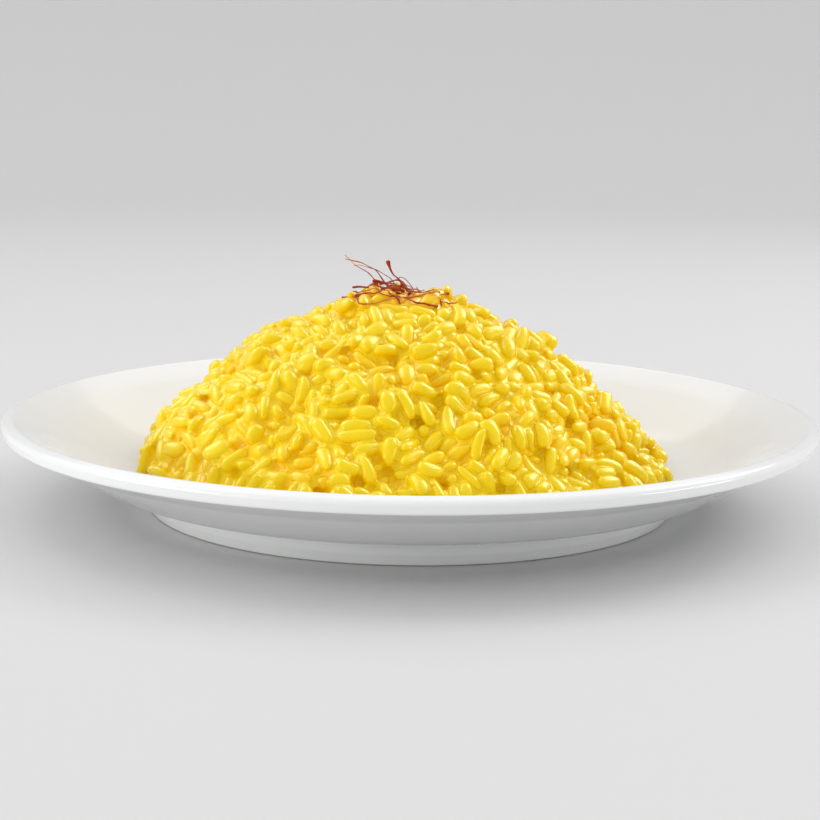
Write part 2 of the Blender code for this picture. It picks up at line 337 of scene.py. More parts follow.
def grain_meshes(a, b, rad, core, kind, seed, swell=0.0):
    """All grains at once: (n, verts, 3), one grain's faces, and a pale mark at broken ends."""
    rng = np.random.default_rng(seed)
    n = len(a)
    axis = b - a
    axis /= np.linalg.norm(axis, axis=1)[:, None]
    helper = rng.normal(size=(n, 3))
    e2 = np.cross(axis, helper); e2 /= np.linalg.norm(e2, axis=1)[:, None]
    e3 = np.cross(axis, e2)
    half = core / 2 + rad                       # half length
    K, M = GRAIN_RINGS, GRAIN_SEGS
    s = np.sin(np.linspace(-math.pi / 2, math.pi / 2, K + 2))[1:-1]   # rings
    s = np.sign(s) * np.abs(s) ** 0.92
    v = np.arange(M) * math.tau / M
    # outline of each end: from oval to blunt, cut off where broken
    blunt_a = rng.uniform(2.3, 4.1, n); blunt_b = rng.uniform(2.2, 3.9, n)
    broken = (kind == 3) | (rng.random(n) < 0.07)
    blunt_b = np.where(broken, rng.uniform(5, 8, n), blunt_b)
    blunt_a = np.where((kind == 3) & (rng.random(n) < 0.4), 6.0, blunt_a)
    p = np.where(s[None, :] < 0, blunt_a[:, None], blunt_b[:, None])
    shape = (1 - np.abs(s[None, :]) ** p) ** (1 / 2.1)
    taper = 1 + np.clip(rng.normal(0, 0.11, n), -0.22, 0.22)[:, None] * s[None, :]
    waist = 1 - rng.uniform(-0.05, 0.07, n)[:, None] * (1 - s[None, :] ** 2)
    R = rad[:, None] * 1.10 * shape * taper * waist            # (n,K)
    flat = rng.uniform(0.76, 0.96, n)
    bend = rng.normal(0, 0.07, n) * half * 2
    bend2 = rng.normal(0, 0.022, n) * half * 2
    ph = rng.uniform(0, math.tau, (n, 6))
    amp = rng.uniform(0.35, 1.35, (n, 1, 1))
    vv = v[None, None, :]; ss = s[None, :, None]
    P = ph[:, :, None, None]
    ridge = 1 + amp * (0.040 * np.sin(2 * vv + P[:, 0] + 1.6 * ss)
                       + 0.036 * np.sin(3 * vv + P[:, 1] - 1.9 * ss)
                       + 0.022 * np.sin(4 * vv + P[:, 2] + 1.1 * ss)
                       + 0.024 * np.sin(4.2 * ss + P[:, 3] + vv)
                       + 0.014 * np.sin(7.5 * ss + P[:, 4] - 2 * vv))
    # the germ's notch near one end, and a long shallow crease on some grains
    notch = rng.uniform(0.0, 0.24, n) * (rng.random(n) < 0.55)
    side = (vv - P[:, 5] + math.pi) % math.tau - math.pi
    ridge -= notch[:, None, None] * np.exp(-((ss - 0.82) / 0.17) ** 2 - (side / 0.75) ** 2)
    crease = rng.uniform(0.0, 0.08, n) * (rng.random(n) < 0.35)
    side2 = (vv - P[:, 0] + math.pi) % math.tau - math.pi
    ridge -= crease[:, None, None] * np.exp(-(side2 / 0.34) ** 2) * (1 - ss ** 4)
    rr = R[:, :, None] * ridge
    c2 = bend[:, None] * (1 - s[None, :] ** 2) - bend[:, None] / 2
    c3 = bend2[:, None] * (s[None, :] ** 3)
    rel = (e2[:, None, None, :] * (rr * np.cos(vv))[..., None]
           + e3[:, None, None, :] * (rr * flat[:, None, None] * np.sin(vv))[..., None])
    if np.any(swell):
        far = np.linalg.norm(rel, axis=-1, keepdims=True) + 1e-6
        rel = rel * (1 + np.broadcast_to(swell, (n,))[:, None, None, None] / far)
        half = half + swell
    ring = (axis[:, None, None, :] * (half[:, None] * s[None, :])[:, :, None, None]
            + e2[:, None, None, :] * c2[:, :, None, None]
            + e3[:, None, None, :] * c3[:, :, None, None] + rel)
    mid = ((a + b) / 2)[:, None, None, :]
    ring = (ring + mid).reshape(n, K * M, 3)
    tips = []
    for sg in (-1.0, 1.0):
        tips.append((a + b) / 2 + axis * (half * sg)[:, None] - e2 * (bend / 2)[:, None]
                    + e3 * (bend2 * sg)[:, None])
    verts = np.concatenate([ring, tips[0][:, None], tips[1][:, None]], 1)
    pale = np.where(broken[:, None], np.clip((s[None, :] - 0.80) / 0.15, 0, 1), 0.0)
    pale = np.concatenate([np.repeat(pale, M, 1), np.zeros((n, 1)), broken[:, None].astype(float)], 1)
    quads, tris = [], []
    for k in range(K - 1):
        for m in range(M):
            m2 = (m + 1) % M
            quads.append((k * M + m, k * M + m2, (k + 1) * M + m2, (k + 1) * M + m))
    lo, hi = K * M, K * M + 1
    for m in range(M):
        m2 = (m + 1) % M
        tris.append((lo, m2, m))
        tris.append((hi, (K - 1) * M + m, (K - 1) * M + m2))
    return verts, np.array(quads), np.array(tris), pale


def grain_map():
    """One grain's texture places, a pair for each corner, in the order of its faces."""
    K, M = GRAIN_RINGS, GRAIN_SEGS
    uv = []
    for k in range(K - 1):
        for m in range(M):
            uv += [(m, k + 1), (m + 1, k + 1), (m + 1, k + 2), (m, k + 2)]
    for m in range(M):
        uv += [(m + 0.5, 0), (m + 1, 1), (m, 1)]
        uv += [(m + 0.5, K + 1), (m, K), (m + 1, K)]
    return np.array(uv, float) / (M, K + 1)


def joined(name, verts, quads, tris, mats, mapped=False):
    """One mesh of many like grains."""
    n, k = verts.shape[:2]
    off = (np.arange(n) * k)[:, None, None]
    q = (quads[None] + off).reshape(-1, 4)
    t = (tris[None] + off).reshape(-1, 3)
    me = bpy.data.meshes.new(name)
    me.vertices.add(n * k)
    me.vertices.foreach_set("co", (verts.reshape(-1, 3) * MM).astype(np.float32).ravel())
    me.loops.add(q.size + t.size)
    me.loops.foreach_set("vertex_index", np.concatenate([q.ravel(), t.ravel()]).astype(np.int32))
    me.polygons.add(len(q) + len(t))
    me.polygons.foreach_set("loop_start", np.concatenate([
        np.arange(len(q)) * 4, q.size + np.arange(len(t)) * 3]).astype(np.int32))
    me.polygons.foreach_set("loop_total", np.concatenate([
        np.full(len(q), 4), np.full(len(t), 3)]).astype(np.int32))
    me.update(calc_edges=True)
    me.shade_smooth()
    if mapped:                       # each grain has its own cell
        one = grain_map()
        nq = quads.shape[0] * 4
        side = math.ceil(math.sqrt(n))
        cell = np.stack([np.arange(n) % side, np.arange(n) // side], -1).astype(float)
        uv = (one[None] * 0.92 + 0.04 + cell[:, None]) / side
        uv = np.concatenate([uv[:, :nq].reshape(-1, 2), uv[:, nq:].reshape(-1, 2)])
        layer = me.uv_layers.new(name="OFBake", do_init=False)
        layer.data.foreach_set("uv", uv.astype(np.float32).ravel())
    for m in mats:
        me.materials.append(m)
    ob = bpy.data.objects.new(name, me)
    bpy.context.scene.collection.objects.link(ob)
    return ob


def modified(ob):
    """Applies an object's modifiers."""
    graph = bpy.context.evaluated_depsgraph_get()
    me = bpy.data.meshes.new_from_object(ob.evaluated_get(graph))
    old = ob.data
    ob.modifiers.clear()
    ob.data = me
    bpy.data.meshes.remove(old)
    return ob


# --------------------------------------------------------------- materials
def node_material(name):
    mat = bpy.data.materials.new(name)
    mat.use_nodes = True
    nt = mat.node_tree
    return mat, nt, nt.nodes["Principled BSDF"]


class Web:
    """Small helper to lay nodes in a material."""

    def __init__(self, nt):
        self.nt = nt
        self.place = nt.nodes.new("ShaderNodeTexCoord").outputs["Object"]

    def new(self, kind, **values):
        node = self.nt.nodes.new(kind)
        for key, val in values.items():
            if hasattr(node, key) and key not in node.inputs:
                setattr(node, key, val)
            else:
                node.inputs[key].default_value = val
        return node

    def link(self, a, b):
        self.nt.links.new(a, b)

    def noise(self, scale, detail=3.0, rough=0.5, distortion=0.0, place=None):
        n = self.new("ShaderNodeTexNoise", Scale=scale, Detail=detail, Roughness=rough, Distortion=distortion)
        self.link(place or self.place, n.inputs["Vector"])
        return n.outputs["Fac"]

    def attr(self, name):
        return self.new("ShaderNodeAttribute", attribute_name=name).outputs["Fac"]

    def remap(self, value, a, b, c=0.0, d=1.0, smooth=False):
        n = self.nt.nodes.new("ShaderNodeMapRange")
        if smooth:
            n.interpolation_type = "SMOOTHSTEP"
        for key, v in zip(("From Min", "From Max", "To Min", "To Max"), (a, b, c, d)):
            n.inputs[key].default_value = v
        self.link(value, n.inputs["Value"])
        return n.outputs["Result"]

    def math(self, op, a, b):
        n = self.nt.nodes.new("ShaderNodeMath")
        n.operation = op
        for i, v in enumerate((a, b)):
            if isinstance(v, (int, float)):
                n.inputs[i].default_value = v
            else:
                self.link(v, n.inputs[i])
        return n.outputs[0]

    def mix(self, fac, a, b):
        n = self.nt.nodes.new("ShaderNodeMix")
        n.data_type = "RGBA"
        self.link(fac, n.inputs["Factor"])
        for sock, v in (("A", a), ("B", b)):
            ins = [i for i in n.inputs if i.name == sock and i.type == "RGBA"][0]
            if isinstance(v, tuple):
                ins.default_value = (*v, 1.0)
            else:
                self.link(v, ins)
        return [o for o in n.outputs if o.type == "RGBA"][0]

    def bump(self, height, strength, distance, normal=None):
        n = self.new("ShaderNodeBump", Strength=strength, Distance=distance)
        self.link(height, n.inputs["Height"])
        if normal is not None:
            self.link(normal, n.inputs["Normal"])
        return n.outputs["Normal"]


def rice_material(name, base, pale, orange_tone_and_shade, wet, coat):
    """Saffron yellow starch under a thin wet film, with painted shade: a deeper orange where the surface lies deep
    under the heap's outline, in the crevices.
    """
    mat, nt, bsdf = node_material(name)
    w = Web(nt)
    blotch = w.noise(190.0, 3.0, 0.55)
    fine = w.noise(950.0, 4.0, 0.6, 0.4)
    speck = w.noise(2600.0, 2.0, 0.5)
    tint = w.math("ADD", w.math("MULTIPLY", w.attr("tint"), 0.65), w.remap(blotch, 0.42, 0.68, -0.10, 0.35))
    colour = w.mix(tint, base, pale)
    # random tone: a little of the deeper orange, by fine noise
    colour = w.mix(w.remap(fine, 0.50, 0.80, 0.0, 0.22), colour, orange_tone_and_shade)
    # painted shade: the colour turns a deeper orange with depth under the heap's outline, in the crevices
    colour = w.mix(w.remap(w.attr("depth"), 1.0, 5.0, 0.0, 0.95, True), colour, orange_tone_and_shade)
    colour = w.mix(w.math("MULTIPLY", w.attr("pale"), 0.4), colour, (0.955, 0.765, 0.09))
    colour = w.mix(w.math("MULTIPLY", w.attr("stain"), 0.6), colour, (0.93, 0.40, 0.003))
    w.link(colour, bsdf.inputs["Base Color"])
    w.link(w.remap(fine, 0.30, 0.72, wet[0], wet[1]), bsdf.inputs["Roughness"])
    bsdf.inputs["Subsurface Weight"].default_value = 0.15
    bsdf.inputs["Subsurface Radius"].default_value = (1.0, 0.80, 0.25)
    bsdf.inputs["Subsurface Scale"].default_value = 0.0004
    bsdf.inputs["IOR"].default_value = 1.30
    bsdf.inputs["Specular Tint"].default_value = (1.0, 0.90, 0.30, 1.0)
    bsdf.inputs["Coat Weight"].default_value = coat
    bsdf.inputs["Coat Roughness"].default_value = 0.23
    bsdf.inputs["Coat IOR"].default_value = 1.45
    n = w.bump(fine, 0.35, 0.00022)
    n = w.bump(speck, 0.16, 0.00008, n)
    w.link(n, bsdf.inputs["Normal"])
    return mat


def porcelain_material():
    """White glaze: faint waves and smudges in its gloss; the foot's land is bare biscuit."""
    mat, nt, bsdf = node_material("porcelain")
    w = Web(nt)
    soft = w.noise(9.0, 2.0, 0.5)
    wave = w.noise(55.0, 2.0, 0.5)
    fleck = w.noise(700.0, 3.0, 0.6)
    colour = w.mix(w.remap(soft, 0.35, 0.7), (0.865, 0.868, 0.868), (0.842, 0.846, 0.847))
    axes = w.new("ShaderNodeSeparateXYZ")
    w.link(w.place, axes.inputs[0])
    radius = w.math("POWER", w.math("ADD", w.math("POWER", axes.outputs["X"], 2.0),
                                    w.math("POWER", axes.outputs["Y"], 2.0)), 0.5)
    ring = w.math("MULTIPLY", w.remap(radius, 0.0715, 0.0724, 0.0, 1.0),
                  w.remap(radius, 0.0776, 0.0785, 1.0, 0.0))
    height = w.math("ADD", axes.outputs["Z"], w.math("MULTIPLY", fleck, 0.0003))
    bare = w.math("MULTIPLY", ring, w.remap(height, 0.00035, 0.00055, 1.0, 0.0))
    clay = w.mix(w.remap(fleck, 0.4, 0.7), (0.56, 0.52, 0.46), (0.66, 0.63, 0.58))
    w.link(w.mix(bare, colour, clay), bsdf.inputs["Base Color"])
    gloss = w.remap(w.noise(34.0, 4.0, 0.6, 0.6), 0.3, 0.75, 0.11, 0.20)
    w.link(w.math("ADD", gloss, w.math("MULTIPLY", bare, 0.6)), bsdf.inputs["Roughness"])
    bsdf.inputs["IOR"].default_value = 1.5
    bsdf.inputs["Coat Weight"].default_value = 0.35
    bsdf.inputs["Coat Roughness"].default_value = 0.05
    bsdf.inputs["Coat IOR"].default_value = 1.5
    n = w.bump(wave, 0.10, 0.00025)
    n = w.bump(w.math("MULTIPLY", fleck, bare), 0.5, 0.0001, n)
    w.link(n, bsdf.inputs["Normal"])
    return mat


def thread_material():
    """Dried saffron: dark red, amber towards the thin end, with fine streaks along it."""
    mat, nt, bsdf = node_material("saffron_thread")
    w = Web(nt)
    along, around = w.attr("along"), w.attr("around")
    streak = w.new("ShaderNodeCombineXYZ")
    w.link(w.math("MULTIPLY", along, 3.0), streak.inputs["X"])
    w.link(w.math("MULTIPLY", around, 5.0), streak.inputs["Y"])
    w.link(w.math("MULTIPLY", w.attr("tint"), 40.0), streak.inputs["Z"])
    lines = w.noise(2.2, 4.0, 0.6, 0.0, streak.outputs[0])
    patch = w.noise(420.0, 3.0, 0.6)
    red = w.mix(w.remap(lines, 0.35, 0.7), (0.215, 0.016, 0.004), (0.46, 0.055, 0.014))
    red = w.mix(w.remap(patch, 0.45, 0.75, 0.0, 0.6), red, (0.58, 0.11, 0.022))
    amber = w.mix(w.remap(lines, 0.3, 0.7), (0.64, 0.28, 0.07), (0.48, 0.15, 0.035))
    colour = w.mix(w.remap(along, 0.52, 0.95, 0.0, 0.95, True), red, amber)
    w.link(colour, bsdf.inputs["Base Color"])
    w.link(w.remap(lines, 0.3, 0.7, 0.35, 0.6), bsdf.inputs["Roughness"])
    bsdf.inputs["IOR"].default_value = 1.36
    bsdf.inputs["Specular Tint"].default_value = (1.0, 0.78, 0.65, 1.0)
    bsdf.inputs["Subsurface Weight"].default_value = 0.25
    bsdf.inputs["Subsurface Radius"].default_value = (1.0, 0.25, 0.1)
    bsdf.inputs["Subsurface Scale"].default_value = 0.0004
    w.link(w.bump(lines, 0.6, 0.00006), bsdf.inputs["Normal"])
    return mat


# ------------------------------------------------------------------ build
def attribute(ob, name, values):
    at = ob.data.attributes.get(name) or ob.data.attributes.new(name, "FLOAT", "POINT")
    at.data.foreach_set("value", np.asarray(values, np.float32).ravel())


N_PACKED, N_LOOSE = 2060, 720
N_GRAINS = N_PACKED + N_LOOSE
a, b, rad, core, kind = settle(N_PACKED, N_LOOSE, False, 10.2, 5)
top_d = -heap_depth((a + b) / 2) + rad
stamp("settled; grains' tops against the outline, percentiles: %s" % np.percentile(top_d, [5, 25, 50, 75, 90, 95, 99]).round(2))
verts, quads, tris, pale = grain_meshes(a, b, rad, core, kind, 11)
depth = heap_depth(verts.reshape(-1, 3)).reshape(verts.shape[:2])
shown = depth.min(1) < 6.2                     # deeper grains lie wholly in the cream
stamp("grains near the surface: %d of %d" % (shown.sum(), N_GRAINS))
# the third colour, a deeper orange, gives random tone and painted shade in the crevices
BASE, PALE, ORANGE_TONE_AND_SHADE = (0.945, 0.680, 0.0010), (0.947, 0.712, 0.010), (0.968, 0.630, 0.0003)
rice = rice_material("rice", BASE, PALE, ORANGE_TONE_AND_SHADE, (0.24, 0.40), 0.50)
cream_mat = rice_material("cream", BASE, (0.947, 0.715, 0.009), ORANGE_TONE_AND_SHADE, (0.28, 0.44), 0.40)
tint = RNG.random(N_GRAINS)
centre = (a + b) / 2
long_ = kind == 0
left = centre[:, 0] < np.median(centre[long_ & shown, 0])
groups = {"rice_long_left": long_ & left, "rice_long_right": long_ & ~left,
          "rice_plump": kind == 1, "rice_short": kind >= 2}
grain_obs = []
for name, pick in groups.items():
    pick = pick & shown
    ob = joined(name, verts[pick], quads, tris, [rice], mapped=True)
    # depth under the outline: the material turns it into painted shade in the crevices
    attribute(ob, "depth", depth[pick])
    attribute(ob, "pale", pale[pick])
    attribute(ob, "tint", np.repeat(tint[pick], verts.shape[1]))
    grain_obs.append(ob)
    stamp("%s: %d grains, %d triangles" % (name, pick.sum(), pick.sum() * (len(quads) * 2 + len(tris))))


def swelling(p):
    return 0.28 + 0.52 * coating(p)


def drawn_back(p):
    return 0.70 - 0.84 * coating(p)


CORE_UNDER = 5.9       # the core lies this far under the outline, mm


def core_mesh():
    """A closed dome under the grains, down to the plate, in mm."""
    rings, segs = 40, 96
    rows = []
    ang = np.arange(segs) * math.tau / segs
    edge = TOE[(ang / math.tau * 720).astype(int) % 720]
    foot = plate_z(edge) + TOE_HEIGHT
    q = 0.82 + 0.38 * (0.5 + 0.5 * np.cos(ang))
    for k in range(1, rings + 1):
        share = math.sin(0.5 * math.pi * k / rings)
        r = share * edge
        z = foot + (HEAP_TOP - foot) * (1 - share ** 2) ** q
        p = np.stack([r * np.cos(ang), r * np.sin(ang), z], -1)
        p = p - heap_field(p, True)[1] * CORE_UNDER
        p[:, 2] = np.maximum(p[:, 2], plate_z(np.hypot(p[:, 0], p[:, 1])) + 0.8)
        rows.append(p)
    for k in range(rings - 1, 0, -3):
        p = rows[rings - 1] * [k / rings, k / rings, 1]
        p[:, 2] = plate_z(np.hypot(p[:, 0], p[:, 1])) + 0.05
        rows.append(p)
    allv = np.concatenate([[[0, 0, HEAP_TOP - CORE_UNDER]]] + rows + [[[0, 0, 7.05]]])
    nr = len(rows)
    faces = []
    for j in range(segs):
        j2 = (j + 1) % segs
        faces.append((0, 1 + j, 1 + j2))
        for k in range(nr - 1):
            faces.append((1 + k * segs + j, 1 + (k + 1) * segs + j, 1 + (k + 1) * segs + j2, 1 + k * segs + j2))
        faces.append((1 + (nr - 1) * segs + j, len(allv) - 1, 1 + (nr - 1) * segs + j2))
    return allv, faces


def arrays(me):
    co = np.zeros(len(me.vertices) * 3, np.float32)
    me.vertices.foreach_get("co", co)
    no = np.zeros(len(me.vertices) * 3, np.float32)
    me.vertices.foreach_get("normal", no)
    return co.reshape(-1, 3).astype(float), no.reshape(-1, 3).astype(float)


def soften(ob, times):
    sm = ob.modifiers.new("soften", "SMOOTH")
    sm.factor = 0.5
    sm.iterations = times


# cream: swollen grains and core melted together, then drawn back in, so that
# it fills the hollows with soft fillets and clings to the grains where it is thick
cream = joined("cream", grain_meshes(a, b, rad, core, kind, 11, swelling(centre))[0], quads, tris, [cream_mat])
core_ob = mesh_object("core_tmp", *core_mesh())
bm = bmesh.new()
bm.from_mesh(cream.data)
bm.from_mesh(core_ob.data)
bm.to_mesh(cream.data)
bm.free()
bpy.data.objects.remove(core_ob)
rm = cream.modifiers.new("melt", "REMESH")
rm.mode = "VOXEL"
rm.voxel_size = 0.00062
soften(cream, 3)
cream = modified(cream)
co, no = arrays(cream.data)
p = co / MM
co -= no * ((swelling(p) + drawn_back(p)) * MM)[:, None]
cream.data.vertices.foreach_set("co", co.astype(np.float32).ravel())
cream.data.update()
soften(cream, 3)
before = len(cream.data.polygons)
dc = cream.modifiers.new("fewer", "DECIMATE")
dc.ratio = min(1.0, 188000 / (2 * before))
cream = modified(cream)
cream.data.shade_smooth()
cream.data.materials.clear()
cream.data.materials.append(cream_mat)
stamp("cream: %d faces, from %d" % (len(cream.data.polygons), before))
cream_v = arrays(cream.data)[0] / MM
# depth under the outline: the material turns it into painted shade in the crevices
attribute(cream, "depth", heap_depth(cream_v))
attribute(cream, "tint", 0.42 + 0.35 * (coating(cream_v) - 0.5))
attribute(cream, "pale", np.zeros(len(cream_v)))


# ---------------------------------------------------------- saffron threads
def surface_tree(reach):
    """The rice and cream round the tuft as one search tree, mm."""
    near = (np.hypot(centre[:, 0] + 3, centre[:, 1] + 5) < reach) & (centre[:, 2] > 40)
    vs = verts[near]
    n, k = vs.shape[:2]
    off = (np.arange(n) * k)[:, None, None]
    polys = [tuple(f) for f in (quads[None] + off).reshape(-1, 4)] + [tuple(f) for f in (tris[None] + off).reshape(-1, 3)]
    pts = [tuple(v) for v in vs.reshape(-1, 3)]
    base = len(pts)
    pts += [tuple(v) for v in cream_v]
    for poly in cream.data.polygons:
        i = poly.vertices[0]
        if math.hypot(cream_v[i][0] + 3, cream_v[i][1] + 5) < reach and cream_v[i][2] > 40:
            polys.append(tuple(base + q for q in poly.vertices))
    return BVHTree.FromPolygons(pts, polys)


TREE = surface_tree(32.0)
stamp("tree")
EYE = Vector((0.0, -550.7, 126.7))        # where the front view is taken from, mm


def drape_down(x, y, start=90.0):
    hit = TREE.ray_cast(Vector((x, y, start)), Vector((0, 0, -1)))
    return hit[0].z if hit[0] is not None else None


def seen_from_front(x, z, y=None, lift=0.25):
    """The point that the front view shows at (x, z) of the plane y = 0: at depth y, or on the rice."""
    target = Vector((x, 0.0, z))
    ray = target - EYE
    if y is None:
        hit = TREE.ray_cast(EYE, ray.normalized())
        if hit[0] is not None and hit[0].y < 14.0:
            return hit[0] - ray.normalized() * lift
        y = 0.0
    return EYE + ray * ((y - EYE.y) / (0.0 - EYE.y))


def curve_through(points, n):
    """Catmull-Rom curve, evenly stepped."""
    pts = np.array([tuple(p) for p in points], float)
    pts = np.concatenate([[2 * pts[0] - pts[1]], pts, [2 * pts[-1] - pts[-2]]])
    out = []
    for i in range(1, len(pts) - 2):
        p0, p1, p2, p3 = pts[i - 1:i + 3]
        for t in np.linspace(0, 1, 24, endpoint=False):
            out.append(0.5 * ((2 * p1) + (-p0 + p2) * t + (2 * p0 - 5 * p1 + 4 * p2 - p3) * t * t
                              + (-p0 + 3 * p1 - 3 * p2 + p3) * t ** 3))
    out.append(pts[-2])
    out = np.array(out)
    run = np.concatenate([[0], np.cumsum(np.linalg.norm(np.diff(out, axis=0), axis=1))])
    even = np.linspace(0, run[-1], n)
    return np.stack([np.interp(even, run, out[:, k]) for k in range(3)], -1), run[-1]


def out_of_rice(pts, radius, times=5):
    """Moves a thread's points clear of the grains, keeping it smooth."""
    pts = pts.copy()
    for _ in range(times):
        for i, q in enumerate(pts):
            loc, nrm, _i, dist = TREE.find_nearest(Vector(q), 6.0)
            if loc is None:
                continue
            side = (Vector(q) - loc).dot(nrm)
            gap = dist if side > 0 else -dist
            if gap < radius:
                pts[i] = np.array(Vector(q) + nrm * min(1.2, (radius - gap)))
        mid = pts[1:-1].copy()
        pts[1:-1] = 0.6 * mid + 0.2 * (pts[:-2] + pts[2:])
    return pts


def tube(pts, radius, flare, rng, tint_value, sides=10):
    """A flattened, twisting thread whose first end opens like a small trumpet.
    Returns verts, faces, attributes and texture places."""
    n = len(pts)
    s = np.linspace(0, 1, n)
    tang = np.gradient(pts, axis=0)
    tang /= np.linalg.norm(tang, axis=1)[:, None] + 1e-9
    ref = np.array([0.0, 0.0, 1.0]) if abs(tang[0, 2]) < 0.9 else np.array([1.0, 0.0, 0.0])
    u = np.cross(tang[0], ref); u /= np.linalg.norm(u)
    us = []
    for k in range(n):                       # carry the frame along
        u = u - tang[k] * np.dot(u, tang[k])
        u /= np.linalg.norm(u) + 1e-9
        us.append(u)
    us = np.array(us); ws = np.cross(tang, us)
    twist = rng.uniform(-5.0, 5.0) * s + rng.uniform(0, math.tau)
    wid = radius * (1 - 0.50 * s ** 1.5) * (1 + 0.14 * np.sin(9 * s + rng.uniform(0, 6)) + 0.08 * np.sin(23 * s + rng.uniform(0, 6)))
    mm = s * np.linalg.norm(np.diff(pts, axis=0), axis=1).sum()      # distance from the club end
    wid = wid + (flare - radius) * np.exp(-(mm / 2.7) ** 1.4)
    tip = np.sqrt(1 - np.clip(1 - mm / (0.9 * flare), 0, 0.86) ** 2)
    wid = wid * tip
    flat = 0.66 + 0.16 * np.sin(5 * s + rng.uniform(0, 6)) + 0.15 * np.exp(-(mm / 1.2) ** 2)
    vs, along, around = [], [], []
    ph = rng.uniform(0, math.tau)
    for k in range(n):
        for j in range(sides):
            t = math.tau * j / sides
            frill = 1 + 0.16 * math.exp(-(s[k] / 0.05) ** 2) * math.sin(3 * t + ph) + 0.10 * math.sin(2 * t + ph + 6 * s[k])
            cu, cw = math.cos(t) * wid[k] * frill, math.sin(t) * wid[k] * flat[k] * frill
            ca, sa = math.cos(twist[k]), math.sin(twist[k])
            vs.append(pts[k] + us[k] * (cu * ca - cw * sa) + ws[k] * (cu * sa + cw * ca))
            along.append(s[k]); around.append(abs(j / sides * 2 - 1))
    faces, uv = [], []
    for k in range(n - 1):
        for j in range(sides):
            j2 = (j + 1) % sides
            faces.append((k * sides + j, (k + 1) * sides + j, (k + 1) * sides + j2, k * sides + j2))
            uv += [(j / sides, k), (j / sides, k + 1), ((j + 1) / sides, k + 1), ((j + 1) / sides, k)]
    # hollow of the trumpet and the closed thin end
    cup = len(vs)
    for j in range(sides):
        rim = vs[j]
        vs.append(pts[0] + (rim - pts[0]) * 0.62 + tang[0] * wid[0] * 0.55)
        along.append(0.04); around.append(0.5)
    for j in range(sides):
        j2 = (j + 1) % sides
        faces.append((j, j2, cup + j2, cup + j))
        uv += [(j / sides, -0.2), ((j + 1) / sides, -0.2), ((j + 1) / sides, -0.9), (j / sides, -0.9)]
    for base, point, order in ((cup, pts[0] + tang[0] * wid[0] * 1.0, 1), ((n - 1) * sides, pts[-1] + tang[-1] * wid[-1] * 0.8, 1)):
        tip = len(vs)
        vs.append(point); along.append(0.05 if base == cup else 1.0); around.append(0.5)
        for j in range(sides):
            j2 = (j + 1) % sides
            faces.append((base + j, base + j2, tip))
            lo_v, hi_v = (-1.0, -1.8) if base == cup else (n - 0.8, n)
            uv += [(j / sides, lo_v), ((j + 1) / sides, lo_v), ((j + 0.5) / sides, hi_v)]
    uv = np.array(uv, float)
    uv[:, 1] = (uv[:, 1] + 2.0) / (n + 2.2)
    return np.array(vs), faces, along, around, [tint_value] * len(vs), uv


